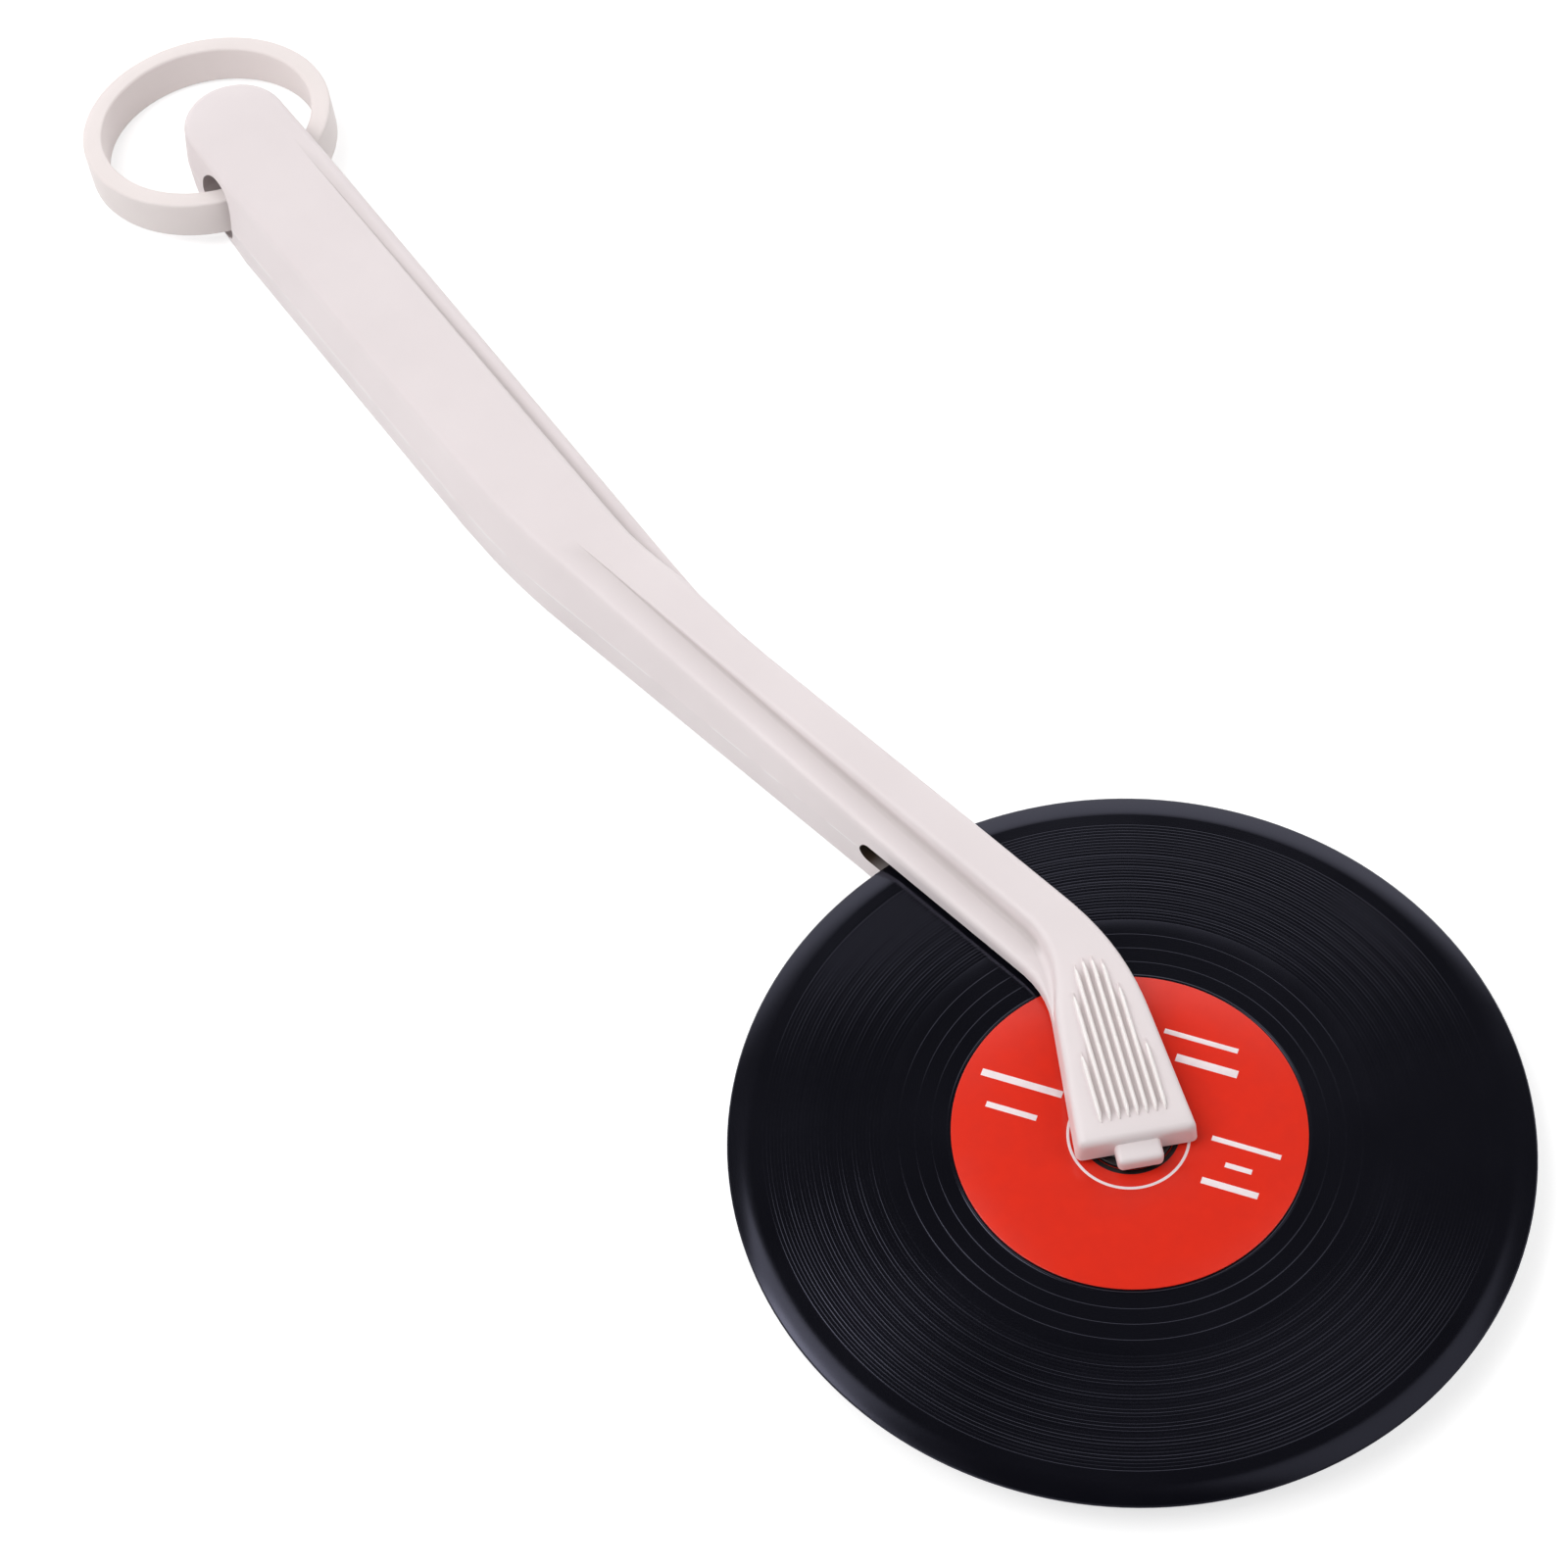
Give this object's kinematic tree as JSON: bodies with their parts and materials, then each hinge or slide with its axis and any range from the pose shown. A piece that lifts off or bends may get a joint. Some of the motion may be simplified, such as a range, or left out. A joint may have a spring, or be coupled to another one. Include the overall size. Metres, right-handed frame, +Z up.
{
  "type": "pizza wheel",
  "caption": "Round steel cutting disc styled as a vinyl record, turning in the slot of a slim tone-arm handle with a loose hanging ring at the tail.",
  "frame": {"origin": "on the flat underside of the handle, straight below the axle of the disc", "axes": "+X along the grip towards the disc, +Y to the side that the arm bends to, +Z up out of the flat underside along the axle"},
  "size_m": [0.2916, 0.1, 0.0125],
  "materials": {
    "handle_plastic": "moulded satin",
    "coated_steel": "black non-stick coat",
    "label_film": "printed film",
    "bush_plastic": "moulded",
    "washer_plastic": "moulded and polished",
    "pin_steel": "ground",
    "screw_steel": "zinc plated"
  },
  "bodies": {
    "handle": {"upper_shell": "handle_plastic", "lower_shell": "handle_plastic", "axle_pin": "pin_steel", "thrust_washer_top": "washer_plastic", "thrust_washer_bottom": "washer_plastic", "shell_screw_1": "screw_steel", "shell_screw_2": "screw_steel", "shell_screw_3": "screw_steel", "shell_screw_4": "screw_steel"},
    "wheel": {"blade": "coated_steel", "label_top": "label_film", "label_bottom": "label_film", "hub_bush_top": "bush_plastic", "hub_bush_bottom": "bush_plastic"},
    "ring": {"hang_ring": "handle_plastic"}
  },
  "joints": [
    {"name": "wheel_spin", "type": "hinge", "parent": "handle", "child": "wheel", "pos_m": [0, 0, 0.006], "axis": [0, 0, 1], "continuous": true},
    {"name": "ring_swing", "type": "hinge", "parent": "handle", "child": "ring", "pos_m": [-0.207, -0.00545, 0.006], "axis": [0, 1, 0], "range_deg": [-150, 160]}
  ]
}
